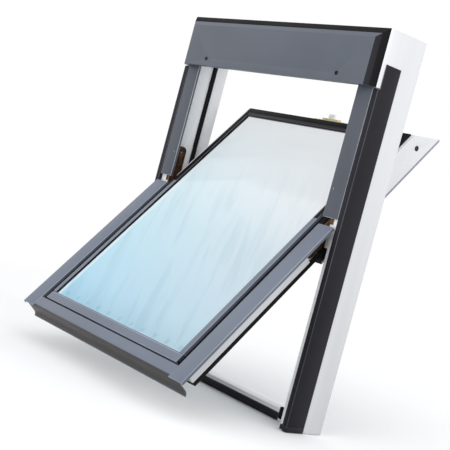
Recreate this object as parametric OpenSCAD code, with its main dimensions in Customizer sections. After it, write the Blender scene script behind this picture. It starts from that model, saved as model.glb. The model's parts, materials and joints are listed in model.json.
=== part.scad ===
// Centre-pivot roof window: a fixed timber frame with metal covers, and a glazed sash that
// turns about an axis across its middle. It is drawn upright and part open.
// X runs across the window, Z up the frame and +Y into the room.
// The origin lies on the underside of the sill, at mid width and mid depth of the frame.

/* [Frame] */
// Overall width, over the side profiles
frame_w = 780; // [660:1:1180]
// Height of the frame
frame_h = 978; // [900:1:1600]
// Depth of the jambs, from their outer face to the room
jamb_depth = 110; // [100:1:140]
// Width of a jamb
jamb_w = 45; // [40:1:60]
// Height of the head
head_h = 47; // [40:1:60]
// Height of the sill
sill_h = 29; // [24:1:34]
// Depth of the sill
sill_depth = 57; // [50:1:64]
// Distance of the sill cover's upper edge below the sill's top
sill_cover_drop = 9; // [4:1:14]
// Width of the rib that the lower sash seal closes on
rib_w = 8; // [6:0.5:9]
// Width of the chamfer on the lower inner edges of the jambs
jamb_chamfer_w = 12; // [6:1:14]
// Depth of that chamfer
jamb_chamfer_depth = 15; // [8:1:20]
// Width of the jambs' lips beside the hood
hood_lip_w = 9; // [6:0.5:12]
// Width of the groove for the room's lining
groove_w = 12; // [8:1:16]
// Depth of that groove
groove_depth = 10; // [6:1:14]

/* [Bracket holes] */
// Radius of the bracket screws' holes
bracket_hole_r = 2.25; // [1.5:0.25:4]
// Depth of those holes
bracket_hole_depth = 22; // [12:1:24]
// Spacing of the brackets across the window
bracket_spacing = 500; // [300:10:560]
// Spacing of one bracket's two screws
bracket_pitch = 30; // [20:1:36]

/* [Pivot] */
// Opening angle shown, from closed
open_angle = 38.2; // [0:0.1:155]
// Height of the axis above the frame's middle
pivot_above_mid = 14; // [0:1:30]
// Distance of the axis in front of the timber
axis_out = 8; // [7:0.5:10]

/* [Side covers] */
// Width of a side cover
cover_w = 51; // [46:1:53]
// Wall of the covers
cover_t = 2; // [1:0.25:2.5]
// Height of the cover faces above the axis
cover_rise = 2; // [1.5:0.25:3]
// Reach of a side cover over the opening
cover_lap = 22; // [18:1:26]
// Distance of the cover ends from the axis
cover_gap = 11.5; // [10:0.5:16]
// Overhang of the sash covers past the frame's bottom
cover_overhang = 30.5; // [20:0.5:40]

/* [Side profiles] */
// Wall of the profile on each jamb
profile_t = 2; // [1.5:0.25:3]
// Width of its front rim
rim_w = 16; // [12:1:18]
// Height of the rim above the axis
rim_rise = 3; // [2:0.25:4]
// Reach of the profile along the jamb's side, from the rim
profile_depth = 59; // [45:1:75]
// Distance of its upper end from the frame's top
profile_top_gap = 84; // [80:1:110]
// Thickness of the cap at its lower end
end_cap_t = 12; // [8:0.5:16]

/* [Hood] */
// Height of the hood
hood_h = 140; // [120:1:160]
// Distance of the hood's top from the frame's top
hood_top_gap = 2; // [2:0.5:5]
// Distance of the hood's ends from the frame's sides
hood_side_gap = 5; // [4:0.5:8]
// Height of its face above the axis
hood_rise = 28; // [22:1:36]
// Height of its edges above the axis
hood_edge_rise = 8; // [6:0.5:12]
// Width of its sloping ends
hood_end_slope = 24; // [10:1:40]
// Height of its sloping top
hood_top_slope = 26; // [10:1:40]
// Wall of the hood
hood_t = 2; // [1:0.25:3]
// Reach of the black strip round its edges, from the back
edge_strip_w = 11; // [6:0.5:14]
// Thickness of that strip
edge_strip_t = 1.5; // [1:0.25:2]
// Distance of the hood screws from the window's middle
hood_screw_x = 264; // [200:1:270]
// Height of the hood screws above the hood's lower edge
hood_screw_up = 19.5; // [14:0.5:30]
// Radius of the hood screws' shanks
hood_screw_r = 2; // [1.5:0.25:3]
// Width of the brackets behind the hood
hood_bracket_w = 30; // [20:1:50]

/* [Sash] */
// Space between a stile and its jamb, which holds the hinge
hinge_space = 10; // [9:0.5:12]
// Width of a stile
stile_w = 63; // [56:1:70]
// Depth of the sash's front below the axis
sash_front = 10; // [9:0.5:12]
// Depth of the sash timber
sash_depth = 78; // [72:1:84]
// Chamfer along the back of the stiles
stile_chamfer = 12; // [4:1:16]
// Width left at the back of the lower stiles by their splay
splay_w = 23; // [16:1:40]
// Depth of the lower flange that overlaps the frame
flange_depth = 36; // [30:1:42]
// Clearance of the flange from the jamb
flange_clear = 2; // [1:0.5:3]
// Height of the sash's lower edge above the frame's bottom
flange_bottom_up = 2; // [1:0.5:6]
// Clearance of the sash's inner edge above the sill
sill_clear = 16; // [14:1:22]
// Clearance of the sash's top below the head
head_clear = 11; // [8:1:20]
// Size of the bevel along the sash's top
bevel = 70; // [60:1:76]
// Height of the top rail's room side
top_rail_h = 127; // [115:1:140]
// Height of the bottom rail's room side
bottom_rail_h = 18; // [14:1:30]

/* [Glazing] */
// Depth of the glass face below the axis
glass_front = 3; // [2.5:0.25:4]
// Thickness of each pane
pane_t = 4; // [3:0.5:6]
// Space between the panes
pane_gap = 14; // [10:1:16]
// Cover of the rebate over the glass edge
glass_cover = 26; // [22:1:28]
// Clearance around the glass in its rebate
glass_clear = 4; // [2:0.5:6]
// Width of the spacer between the panes
spacer_w = 10; // [6:1:12]
// Distance of the spacer from the glass edge
spacer_inset = 4; // [2:1:6]
// Width of the side beads
bead_w = 18; // [14:1:20]
// Width of the bottom bead
bottom_bead_w = 26; // [20:1:34]
// Width of the top bead
top_bead_w = 29; // [20:1:34]
// Height of the beads above the glass
bead_rise = 4.5; // [3:0.5:5]
// Foot of the beads on the timber
bead_foot = 2.7; // [2:0.1:4]
// Thickness of the black trim around the beads
trim_t = 3.5; // [2.5:0.25:4]

/* [Bottom cover] */
// Radius of the fold at its lower edge
fold_r = 10; // [6:0.5:14]
// Depth of the straight part of its drip lip
lip_depth = 34; // [24:1:44]
// Radius of the lip's outward curve
lip_curve_r = 13; // [8:0.5:18]
// Turn of that curve in degrees
lip_turn = 65; // [40:1:80]
// Distance of the lip's ends from the side covers' outer edges
lip_side_gap = 17; // [10:1:24]

/* [Seals] */
// Height of the lower sash seal along the bottom rail
seal_w = 7; // [5:0.5:8]
// Reach of the lower sash seal behind the flange
lower_seal_reach = 12; // [8:0.5:13]
// Reach of the upper frame seal
seal_reach = 7; // [5:0.5:7.5]
// Distance of the lower sash seal's upper ends from the axis
seal_start = 60; // [50:1:90]
// Width of the upper frame seal
upper_seal_w = 13; // [9:0.5:16]
// Rounding of its edges
upper_seal_r = 3; // [2:0.5:3.5]
// Depth of the upper frame seal below the axis
upper_seal_depth = 70; // [62:1:80]
// Width of the strip that the sash cover closes over
jamb_strip_w = 8; // [6:1:16]

/* [Hinges] */
// Thickness of a hinge plate
hinge_plate_t = 3; // [2.5:0.25:3.5]
// Gap between the two halves of a hinge
hinge_gap = 0.6; // [0.4:0.1:1]
// Middle radius of the curved track
track_r = 23.5; // [20:0.5:26]
// Width of the groove in the track
track_groove = 5; // [4:0.5:6]
// Wall beside the groove
track_wall = 5; // [3:0.5:6]
// Clearance of the shoe in its groove
shoe_clear = 0.2; // [0.1:0.05:0.3]
// Turn of the track at each end below the axis plane, in degrees
track_end = 4; // [3:0.5:6]
// Length of the shoe in degrees
shoe_turn = 12; // [10:1:16]
// Reach of the frame's hinge plate above the axis
hinge_plate_up = 101; // [80:1:130]
// Reach of the sash's hinge plate below the axis
hinge_plate_down = 92; // [80:1:120]
// Width of the hinge plates
hinge_plate_w = 34; // [30:1:40]
// Radius of the hinge screws' shanks
hinge_screw_r = 1.75; // [1.5:0.25:2.5]
// Length of the hinge screws
hinge_screw_len = 20; // [12:1:28]

/* [Latch] */
// Length of the latch plate
latch_plate_l = 130; // [100:1:160]
// Width of the latch case
latch_case_w = 16; // [12:1:18]
// Length of the latch case
latch_case_l = 64; // [50:1:80]
// Height of the latch case above the bevel
latch_case_h = 8; // [7:0.5:9]
// Length of the tongue's nose
tongue_l = 24; // [16:1:40]
// Thickness of the tongue
tongue_t = 5; // [4:0.5:6]
// Reach of the tongue out of its case
tongue_out = 12.5; // [11:0.5:16]
// Width of the striker
striker_w = 60; // [50:1:80]
// Sheet of the striker
striker_t = 2; // [1.5:0.25:3]

/* [Control bar] */
// Length of the bar
bar_l = 456; // [300:1:500]
// Height of the bar's section
bar_h = 38; // [30:1:44]
// Thickness of the bar
bar_t = 11; // [8:0.5:12]
// Distance of the bar's pivot from the back of the sash
bar_off = 12; // [10:0.5:15]
// Distance of the bar's pivot below the sash's top
bar_drop = 17; // [14:1:24]
// Radius of the bar's pivot pins
bar_pin_r = 3.5; // [3:0.25:4.5]
// Width of the bar's brackets
bar_bracket_w = 7; // [5:0.5:10]

/* [Barrel bolt] */
// Radius of the bolt
bolt_r = 4; // [3:0.25:5]
// Length of the bolt
bolt_l = 40; // [32:1:46]
// Distance of the bolt below the top of the stile's front
bolt_drop = 11; // [10:0.5:40]
// Depth of the bolt below the axis
bolt_depth = 44; // [40:1:52]
// Travel of the bolt
bolt_travel = 9; // [7:0.5:9]
// Distance of the bolt's bush from the jamb's back
bush_inset = 15.9; // [12:0.1:24]
// Running clearance of pins in their bores
pin_clear = 0.05; // [0.02:0.01:0.1]

/* [Hidden] */
$fn = 48;
eps = 0.01;
seat_gap = 0.3;
half_w = frame_w / 2;
jamb_out = half_w - profile_t;
jamb_in = jamb_out - jamb_w;
pivot_y = -jamb_depth / 2 - axis_out;
pivot_z = frame_h / 2 + pivot_above_mid;

// Places relative to the axis: depth runs into the room, height up the frame
back_d = axis_out + jamb_depth;
top_z = frame_h - pivot_z;
bottom_z = -pivot_z;
head_z = top_z - head_h;
sill_z = bottom_z + sill_h;
sill_front = back_d - sill_depth;
sill_cover_t = 2;

cover_in = jamb_in - cover_lap;
cover_out = cover_in + cover_w;
rim_in = half_w - rim_w;
profile_back = profile_depth - rim_rise;
profile_top = top_z - profile_top_gap;
cap_inset = jamb_chamfer_w + 1;
cap_r = 8;

hood_top = top_z - hood_top_gap;
hood_bottom = hood_top - hood_h;
hood_half = half_w - hood_side_gap;
hood_screw_z = hood_bottom + hood_screw_up;
hood_screw_l = 10;
lip_in = jamb_out - hood_lip_w;
rim_top_gap = 2;
rim_top = hood_bottom - rim_top_gap;
profile_upper_front = 3.5;
cover_under_hood = 11;
bracket_t = 2;
bracket_end = 8;
bracket_foot = 24;

stile_out = jamb_in - hinge_space;
stile_in = stile_out - stile_w;
flange_out = jamb_in - flange_clear;
sash_back = sash_front + sash_depth;
flange_back = sash_front + flange_depth;
flange_start = hinge_plate_down + 2;
seal_back = flange_back + lower_seal_reach;
sash_bottom = bottom_z + flange_bottom_up;
sash_inner_bottom = sill_z + sill_clear;
sash_top = head_z - head_clear;
bevel_back = sash_front + bevel;
sash_top_front = sash_top - bevel;
top_rail_in = sash_top - top_rail_h;
bottom_rail_in = sash_inner_bottom + bottom_rail_h;

glass_depth = 2 * pane_t + pane_gap;
glass_back = glass_front + glass_depth;
rebate_x = stile_in + glass_cover + glass_clear;
rebate_top_margin = 15;
rebate_bottom_margin = 10;
rebate_top = sash_top_front - rebate_top_margin;
rebate_bottom = sash_bottom + rebate_bottom_margin;
glass_half = rebate_x - glass_clear;
glass_top = rebate_top - glass_clear;
glass_bottom = rebate_bottom + glass_clear;
bead_out = rebate_x + bead_foot;
top_bead_out = rebate_top + bead_foot;
top_bead_in = top_bead_out - top_bead_w;
bottom_bead_out = rebate_bottom - bead_foot;
bottom_bead_in = bottom_bead_out + bottom_bead_w;
trim_top = sash_front - trim_t;
trim_in = bead_out + seat_gap;
trim_out = cover_in + cover_t;

sash_cover_end = bottom_z - cover_overhang;
cover_face = cover_t - cover_rise;
lip_rise = 2.5;
lip_wall = sash_cover_end + lip_rise;
lip_half = cover_out - lip_side_gap;
cover_leg_end = lip_wall + fold_r + 1;

hinge_x = jamb_in - hinge_plate_t;
track_x = stile_out + hinge_plate_t + hinge_gap;
track_in = track_r - track_groove / 2;
track_out = track_r + track_groove / 2;
groove_floor_t = 2;
groove_floor = jamb_in - groove_floor_t;
hinge_corner_r = 13;
shoe_lead = 2;
hinge_screw_near = 48;
hinge_screw_end = 16;
frame_hinge_screw_z = [hinge_screw_near, hinge_plate_up - hinge_screw_end];
sash_hinge_screw_z = [-hinge_screw_near, hinge_screw_end - hinge_plate_down];
hinge_screw_depth = sash_front + hinge_plate_w / 2;

latch_place = 0.27;
bevel_mid = bevel * latch_place;
latch_y = sash_front + bevel_mid;
latch_z = sash_top_front + bevel_mid;
latch_plate_t = 3;
latch_plate_margin = 2;
latch_plate_r = 4;
latch_case_r = 3;
tongue_stroke = 8;
striker_ahead = 8;
striker_clear = 0.8;
striker_foot = 26;
striker_depth = latch_y - striker_ahead;
striker_low = latch_z + striker_ahead + tongue_t / sqrt(2) + striker_clear;

bar_y = sash_back + bar_off;
bar_z = sash_top - bar_drop;
bar_half = bar_l / 2;
bar_play = 0.5;
bar_eye_wall = 4.5;
bar_plate_t = 3;
bar_plate_reach = bar_drop - 3;

sill_block_w = 53;
block_rise = 8;
block_up = 6;
block_r = 6;
rib_bottom = sill_z + block_rise + 1;
cover_leg_clear = 0.9;
bottom_cover_top = sash_bottom + cover_t;
tongue_tail = 10;
bar_cap_t = 4;
bolt_bush_r = bolt_r + 2.5;
bolt_up = sash_top_front - bolt_drop;
bolt_reach = sqrt(pow(bolt_up, 2) + pow(bolt_depth, 2));
bolt_angle = 180 - asin((back_d - bush_inset) / bolt_reach) - atan(bolt_depth / bolt_up);
bolt_stud_r = 2.5;
bolt_stud_edge = 2;
bolt_stud_x = stile_out - bolt_l + bolt_stud_r + bolt_stud_edge;
knob_gap = 1;
knob_t = 5;
bush_depth = 2;
bush_end = jamb_in + bush_depth;

white = [0.92, 0.92, 0.93];
cover_grey = [0.47, 0.51, 0.56];
dark_grey = [0.21, 0.22, 0.24];
black = [0.05, 0.05, 0.06];
bronze = [0.36, 0.25, 0.16];
zinc = [0.78, 0.72, 0.55];
steel = [0.66, 0.67, 0.69];
glass_blue = [0.75, 0.87, 0.93, 0.5];

// Places a frame piece drawn about the axis
module in_frame() {
    translate([0, pivot_y, pivot_z]) children();
}

// Places a sash piece drawn closed about the axis, and turns it open
module in_sash() {
    in_frame() rotate([-open_angle, 0, 0]) children();
}

// Draws a right-hand piece on the side given, 1 for right and -1 for left
module on_side(side) {
    if (side > 0) children();
    else mirror([1, 0, 0]) children();
}

module on_both_sides() {
    for (side = [-1, 1]) on_side(side) children();
}

// Extrudes a (depth, height) section across the window
module across(length) {
    rotate([90, 0, 90]) linear_extrude(length, center = true) children();
}

// Extrudes an (x, depth) section up the window
module upright(low, high) {
    translate([0, 0, low]) linear_extrude(high - low) children();
}

// A box between two corners
module span(low, high) {
    translate(low) cube(high - low);
}

// A rectangle between two corners, with round corners
module rounded(low, high, r) {
    translate([low[0] + r, low[1]]) square([high[0] - low[0] - 2 * r, high[1] - low[1]]);
    translate([low[0], low[1] + r]) square([high[0] - low[0], high[1] - low[1] - 2 * r]);
    for (a = [low[0] + r, high[0] - r], b = [low[1] + r, high[1] - r]) translate([a, b]) circle(r);
}

// A ring about the axis, from one angle to another; angles run from up towards the room
module axis_ring(r_in, r_out, x_low, x_high, from, to) {
    translate([x_low, 0, 0]) rotate([90, 0, 90]) linear_extrude(x_high - x_low) intersection() {
        difference() {
            circle(r_out);
            circle(r_in);
        }
        polygon([[0, 0], for (a = [from : (to - from) / 4 : to + eps]) 2 * r_out * [sin(a), cos(a)]]);
    }
}

// A rod along X
module rod_x(r, x_low, x_high) {
    translate([x_low, 0, 0]) rotate([0, 90, 0]) cylinder(r = r, h = x_high - x_low);
}

// A round-headed screw that points along +Y, with its head's seat at the origin
module screw_y(r, length) {
    rotate([-90, 0, 0]) cylinder(r = r, h = length);
    rotate([90, 0, 0]) rotate_extrude() {
        square([2.6 * r, 0.5 * r]);
        translate([0, 0.5 * r]) square([1.8 * r, 0.8 * r]);
        intersection() {
            translate([1.8 * r, 0.5 * r]) circle(0.8 * r);
            square([2.6 * r, 1.3 * r]);
        }
    }
}

// Bracket screw holes at the corners of a rectangle, drilled along +Z from the face at z
module bracket_holes(y, z, depth) {
    for (x = [-1, 1] * bracket_spacing / 2, row = [-1, 1] * bracket_pitch / 2)
        translate([x, y + row, z]) cylinder(r = bracket_hole_r, h = depth);
}

// Frame timber

module jamb(side) {
    color(white) in_frame() on_side(side) difference() {
        union() {
            span([jamb_in, axis_out, bottom_z], [jamb_out, back_d, top_z]);
            span([jamb_in - rib_w, sill_front - sill_cover_t, rib_bottom],
                [jamb_in + eps, back_d, -seal_start]);
            span([lip_in, -hood_edge_rise, hood_bottom], [jamb_out, axis_out + eps, hood_top]);
        }
        span([jamb_in + jamb_w / 2 - groove_w / 2, back_d - groove_depth, bottom_z - 1],
            [jamb_in + jamb_w / 2 + groove_w / 2, back_d + 1, top_z + 1]);
        span([jamb_in + cap_inset, axis_out - 1, bottom_z - 1],
            [jamb_out + 1, profile_back, bottom_z + end_cap_t]);
        upright(bottom_z - 1, -seal_start) polygon([
            [jamb_in - jamb_chamfer_w, axis_out + 2 * jamb_chamfer_depth],
            [jamb_in + 2 * jamb_chamfer_w, axis_out - jamb_chamfer_depth],
            [jamb_in - jamb_chamfer_w, axis_out - jamb_chamfer_depth]
        ]);
        for (z = frame_hinge_screw_z) translate([0, hinge_screw_depth, z])
            rod_x(hinge_screw_r + pin_clear, jamb_in - 1, hinge_x + hinge_screw_len);
        if (side > 0) bush_place() rod_x(bolt_bush_r, jamb_in - rib_w - 1, bush_end);
    }
}

module frame_left_jamb() { jamb(-1); }

module frame_right_jamb() { jamb(1); }

module frame_head() {
    color(white) in_frame() difference() {
        span([-jamb_in, axis_out, head_z], [jamb_in, back_d, top_z]);
        span([-jamb_in - 1, back_d - groove_depth, head_z + head_h / 2 - groove_w / 2],
            [jamb_in + 1, back_d + 1, head_z + head_h / 2 + groove_w / 2]);
        bracket_holes(axis_out + jamb_depth / 2, top_z - bracket_hole_depth, bracket_hole_depth + 1);
    }
}

module frame_sill() {
    color(white) in_frame() difference() {
        span([-jamb_in, sill_front, bottom_z], [jamb_in, back_d, sill_z]);
        bracket_holes(back_d - sill_depth / 2, bottom_z - 1, bracket_hole_depth + 1);
    }
}

// Hood over the head

// The hood's solid form, with its walls moved in by inset
module hood_form(inset) {
    slope_in = inset * 0.6;
    back = abs(inset) - hood_edge_rise;
    intersection() {
        across(2 * half_w) polygon([
            [back, hood_bottom + inset],
            [-hood_rise + inset, hood_bottom + inset],
            [-hood_rise + inset, hood_top - hood_top_slope - slope_in],
            [-hood_edge_rise, hood_top - inset],
            [back, hood_top - inset]
        ]);
        upright(bottom_z, 2 * top_z) polygon([for (side = [1, -1], step = [0, 1, 2])
            let (i = side > 0 ? step : 2 - step,
                reach = [hood_half - hood_end_slope - slope_in, hood_half - inset, hood_half - inset][i],
                depth = [-hood_rise + inset, -hood_edge_rise, back][i])
            [side * reach, depth]
        ]);
    }
}

module top_hood() {
    color(cover_grey) in_frame() {
        difference() {
            hood_form(0);
            hood_form(hood_t);
            on_both_sides() translate([hood_screw_x, -hood_rise - 1, hood_screw_z])
                rotate([-90, 0, 0]) cylinder(r = hood_screw_r + pin_clear, h = hood_t + 2);
        }
        span([seat_gap - lip_in, -hood_edge_rise - eps, hood_top - hood_t],
            [lip_in - seat_gap, axis_out, hood_top]);
    }
}

// Black strip round the hood's top and ends, where it meets the frame
module hood_edge_strip() {
    color(black) in_frame() intersection() {
        difference() {
            hood_form(-edge_strip_t);
            hood_form(0);
        }
        span([-half_w, -hood_edge_rise - edge_strip_w, hood_bottom], [half_w, -hood_edge_rise, 2 * top_z]);
    }
}

// Bent strips that carry the hood's lower edge from the head
module hood_brackets() {
    behind = -hood_rise + hood_t;
    color(steel) in_frame() on_both_sides() translate([hood_screw_x, 0, 0]) difference() {
        across(hood_bracket_w) polygon([
            [behind, hood_screw_z - bracket_end],
            [behind + bracket_t, hood_screw_z - bracket_end],
            [behind + bracket_t, head_z],
            [axis_out, head_z],
            [axis_out, head_z + bracket_foot],
            [axis_out - bracket_t, head_z + bracket_foot],
            [axis_out - bracket_t, head_z + bracket_t],
            [behind, head_z + bracket_t]
        ]);
        translate([0, behind - 1, hood_screw_z]) rotate([-90, 0, 0])
            cylinder(r = hood_screw_r + pin_clear, h = bracket_t + 2);
    }
}

module hood_screws() {
    color(dark_grey) in_frame() on_both_sides()
        translate([hood_screw_x, -hood_rise, hood_screw_z]) screw_y(hood_screw_r, hood_screw_l);
}

// Covers and side profiles of the frame

// The bent section of a side cover, with its two legs
module cover_section(inner_leg, outer_leg) {
    translate([cover_in, -cover_rise]) square([cover_w, cover_t]);
    translate([cover_in, -cover_rise]) square([cover_t, inner_leg + cover_rise]);
    translate([cover_out - cover_t, -cover_rise]) square([cover_t, outer_leg + cover_rise]);
}

module upper_cover(side) {
    color(cover_grey) in_frame() on_side(side)
        upright(cover_gap, hood_bottom + cover_under_hood) cover_section(trim_top - 1, axis_out);
}

module upper_left_cover() { upper_cover(-1); }

module upper_right_cover() { upper_cover(1); }

module side_profile(side) {
    color(dark_grey) in_frame() on_side(side) {
        upright(bottom_z + end_cap_t, rim_top) {
            translate([rim_in, -rim_rise]) square([rim_w, profile_t]);
            translate([rim_in, -rim_rise]) square([profile_t, axis_out + rim_rise]);
            translate([jamb_out, -rim_rise]) square([profile_t, profile_depth]);
        }
        upright(rim_top - 1, profile_top) translate([jamb_out, profile_upper_front])
            square([profile_t, profile_back - profile_upper_front]);
    }
}

module left_side_profile() { side_profile(-1); }

module right_side_profile() { side_profile(1); }

module profile_end_caps() {
    color(black) in_frame() on_both_sides() upright(bottom_z, bottom_z + end_cap_t) {
        translate([jamb_in + cap_inset, axis_out])
            square([half_w - jamb_in - cap_inset, profile_back - axis_out]);
        intersection() {
            rounded([rim_in, -rim_rise], [half_w, axis_out + 2 * cap_r], cap_r * 0.9);
            translate([rim_in, -rim_rise]) square([rim_w, axis_out + rim_rise]);
        }
    }
}

// The upper seal's section: it stands on a face and reaches along +X
module seal_section() {
    intersection() {
        rounded([-seal_reach, -upper_seal_w / 2], [seal_reach, upper_seal_w / 2], upper_seal_r);
        translate([0, -upper_seal_w / 2]) square([seal_reach, upper_seal_w]);
    }
}

module upper_frame_seal() {
    color(black) in_frame() {
        on_both_sides() upright(hinge_plate_up + 6, head_z)
            translate([jamb_in, upper_seal_depth]) rotate(180) seal_section();
        across(2 * (jamb_in - seal_reach) + eps) translate([upper_seal_depth, head_z])
            rotate(-90) seal_section();
    }
}

module sill_cover() {
    high = sill_z - sill_cover_drop;
    color(dark_grey) in_frame() across(2 * (jamb_in - sill_block_w)) polygon([
        [sill_front, bottom_z],
        [sill_front - sill_cover_t, bottom_z],
        [sill_front - sill_cover_t, high - sill_cover_t],
        [sill_front, high]
    ]);
}

// Rubber blocks that close the corners between the sill and the jambs
module sill_corner_blocks() {
    color(black) in_frame() on_both_sides() translate([0, sill_front - sill_cover_t, 0])
        rotate([90, 0, 0]) mirror([0, 0, 1]) linear_extrude(sill_cover_t)
        intersection() {
            rounded([jamb_in - sill_block_w, bottom_z + block_up],
                [jamb_in + 2 * block_r, sill_z + block_rise], block_r);
            translate([0, bottom_z]) square([jamb_in, pivot_z]);
        }
}

module jamb_strips() {
    color(black) in_frame() on_both_sides()
        span([rim_in - jamb_strip_w, axis_out - 1, bottom_z + end_cap_t],
            [rim_in, axis_out, -2 * cover_gap]);
}

// Hinges: a curved track on each jamb, and a shoe on each stile that runs in it

module hinge_plate(x, low, high, front) {
    translate([x, 0, 0]) rotate([90, 0, 90]) linear_extrude(hinge_plate_t)
        rounded([front, low], [sash_front + hinge_plate_w, high], hinge_corner_r);
}

module frame_hinge(side) {
    color(bronze) in_frame() on_side(side) difference() {
        union() {
            hinge_plate(hinge_x, -track_out - track_wall, hinge_plate_up, axis_out);
            axis_ring(track_in - track_wall, track_out + track_wall, track_x, jamb_in,
                track_end, 180 - track_end);
        }
        axis_ring(track_in, track_out, track_x - 1, groove_floor, track_end - 1, 181 - track_end);
        for (z = frame_hinge_screw_z) translate([0, hinge_screw_depth, z])
            rod_x(hinge_screw_r + pin_clear, hinge_x - 1, jamb_in + 1);
    }
}

module left_frame_hinge() { frame_hinge(-1); }

module right_frame_hinge() { frame_hinge(1); }

module sash_hinge(side) {
    shoe_from = track_end + shoe_lead;
    color(bronze) in_sash() on_side(side) {
        difference() {
            union() {
                hinge_plate(stile_out, -hinge_plate_down, 0, sash_front - 1);
                axis_ring(track_in - track_wall, track_out + track_wall, stile_out,
                    stile_out + hinge_plate_t, track_end, 180 - track_end);
            }
            for (z = sash_hinge_screw_z) translate([0, hinge_screw_depth, z])
                rod_x(hinge_screw_r + pin_clear, stile_out - 1, stile_out + hinge_plate_t + 1);
        }
        axis_ring(track_in + shoe_clear, track_out - shoe_clear, stile_out + hinge_plate_t / 2,
            groove_floor - shoe_clear, shoe_from, shoe_from + shoe_turn);
    }
}

module left_sash_hinge() { sash_hinge(-1); }

module right_sash_hinge() { sash_hinge(1); }

module frame_hinge_screws() {
    color(steel) in_frame() on_both_sides() for (z = frame_hinge_screw_z)
        translate([hinge_x, hinge_screw_depth, z]) rotate([0, 0, -90])
            screw_y(hinge_screw_r, hinge_screw_len);
}

module sash_hinge_screws() {
    color(steel) in_sash() on_both_sides() for (z = sash_hinge_screw_z)
        translate([stile_out + hinge_plate_t, hinge_screw_depth, z]) rotate([0, 0, 90])
            screw_y(hinge_screw_r, hinge_screw_len);
}

// Sash timber

// Cuts everything above the sloping top of the sash
module bevel_cut() {
    across(2 * frame_w) polygon([
        [sash_front - sash_depth, sash_top_front - sash_depth],
        [bevel_back, sash_top],
        [sash_back + 1, sash_top],
        [sash_back + 1, top_z],
        [sash_front - sash_depth, top_z]
    ]);
}

module stile(side) {
    color(white) in_sash() on_side(side) difference() {
        union() {
            upright(sash_bottom, sash_top) polygon([
                [stile_in, sash_front],
                [stile_out, sash_front],
                [stile_out, sash_back - stile_chamfer],
                [stile_out - stile_chamfer * 0.6, sash_back],
                [stile_in, sash_back]
            ]);
            span([stile_out - eps, sash_front, sash_bottom], [flange_out, flange_back, -flange_start]);
        }
        bevel_cut();
        span([stile_in - 1, sash_front - 1, rebate_bottom], [rebate_x, glass_back, rebate_top]);
        span([stile_in - 1, flange_back, sash_bottom - 1],
            [flange_out + 1, sash_back + 1, sash_inner_bottom]);
        upright(sash_bottom, -seal_start) polygon([
            [stile_out, seal_back],
            [flange_out, seal_back],
            [flange_out, sash_back + 1],
            [stile_in + splay_w, sash_back + 1],
            [stile_in + splay_w, sash_back]
        ]);
        for (z = sash_hinge_screw_z) translate([0, hinge_screw_depth, z])
            rod_x(hinge_screw_r + pin_clear, stile_out - hinge_screw_len, stile_out + 1);
        if (side > 0) bolt_room();
    }
}

module sash_left_stile() { stile(-1); }

module sash_right_stile() { stile(1); }

module sash_top_rail() {
    color(white) in_sash() difference() {
        across(2 * stile_in) polygon([
            [glass_back, top_rail_in],
            [sash_back, top_rail_in],
            [sash_back, sash_top],
            [bevel_back, sash_top],
            [sash_front, sash_top_front],
            [sash_front, rebate_top],
            [glass_back, rebate_top]
        ]);
        on_bevel() tongue_slot(-tongue_stroke - tongue_tail - 1, 1);
    }
}

module sash_bottom_rail() {
    color(white) in_sash() across(2 * stile_in) polygon([
        [sash_front, sash_bottom],
        [flange_back, sash_bottom],
        [flange_back, sash_inner_bottom],
        [sash_back, sash_inner_bottom],
        [sash_back, bottom_rail_in],
        [glass_back, bottom_rail_in],
        [glass_back, rebate_bottom],
        [sash_front, rebate_bottom]
    ]);
}

// Sealed glass unit and what holds it

module pane(depth) {
    color(glass_blue) in_sash()
        span([-glass_half, depth, glass_bottom], [glass_half, depth + pane_t, glass_top]);
}

module outer_pane() { pane(glass_front); }

module inner_pane() { pane(glass_back - pane_t); }

module pane_spacer() {
    out = glass_half - spacer_inset;
    high = glass_top - spacer_inset;
    low = glass_bottom + spacer_inset;
    color(steel) in_sash() difference() {
        span([-out, glass_front + pane_t, low], [out, glass_back - pane_t, high]);
        span([spacer_w - out, 0, low + spacer_w], [out - spacer_w, glass_back, high - spacer_w]);
    }
}

// A bead's section: an edge that slopes to the glass, and a foot on the timber
module bead_section(width, rebate) {
    face = glass_front - bead_rise;
    polygon([
        [rebate + bead_foot - width, glass_front],
        [rebate + bead_foot - width, glass_front - bead_rise * 0.4],
        [rebate + bead_foot - width + bead_rise, face],
        [rebate + bead_foot, face],
        [rebate + bead_foot, sash_front],
        [rebate, sash_front],
        [rebate, glass_front]
    ]);
}

module side_bead(side) {
    color(cover_grey) in_sash() on_side(side)
        upright(bottom_bead_in, top_bead_in) bead_section(bead_w, rebate_x);
}

module left_bead() { side_bead(-1); }

module right_bead() { side_bead(1); }

module top_bead() {
    color(dark_grey) in_sash() across(2 * bead_out)
        mirror([1, -1]) bead_section(top_bead_w, rebate_top);
}

module bottom_bead() {
    color(cover_grey) in_sash() across(2 * bead_out)
        mirror([0, 1]) mirror([1, -1]) bead_section(bottom_bead_w, -rebate_bottom);
}

module sash_trim() {
    color(black) in_sash() difference() {
        span([-trim_out, trim_top, sash_bottom], [trim_out, sash_front, sash_top_front - 1]);
        span([-trim_in, trim_top - 1, bottom_bead_out - seat_gap],
            [trim_in, sash_front + 1, top_bead_out + seat_gap]);
    }
}

// Covers and seal of the sash

module sash_cover(side) {
    color(cover_grey) in_sash() on_side(side) difference() {
        upright(sash_cover_end, -cover_gap) cover_section(trim_top, axis_out - 2 * cover_leg_clear);
        span([cover_in - 1, cover_face, sash_cover_end - 1],
            [cover_out - cover_t - 1, axis_out, cover_leg_end]);
    }
}

module sash_left_cover() { sash_cover(-1); }

module sash_right_cover() { sash_cover(1); }

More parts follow.
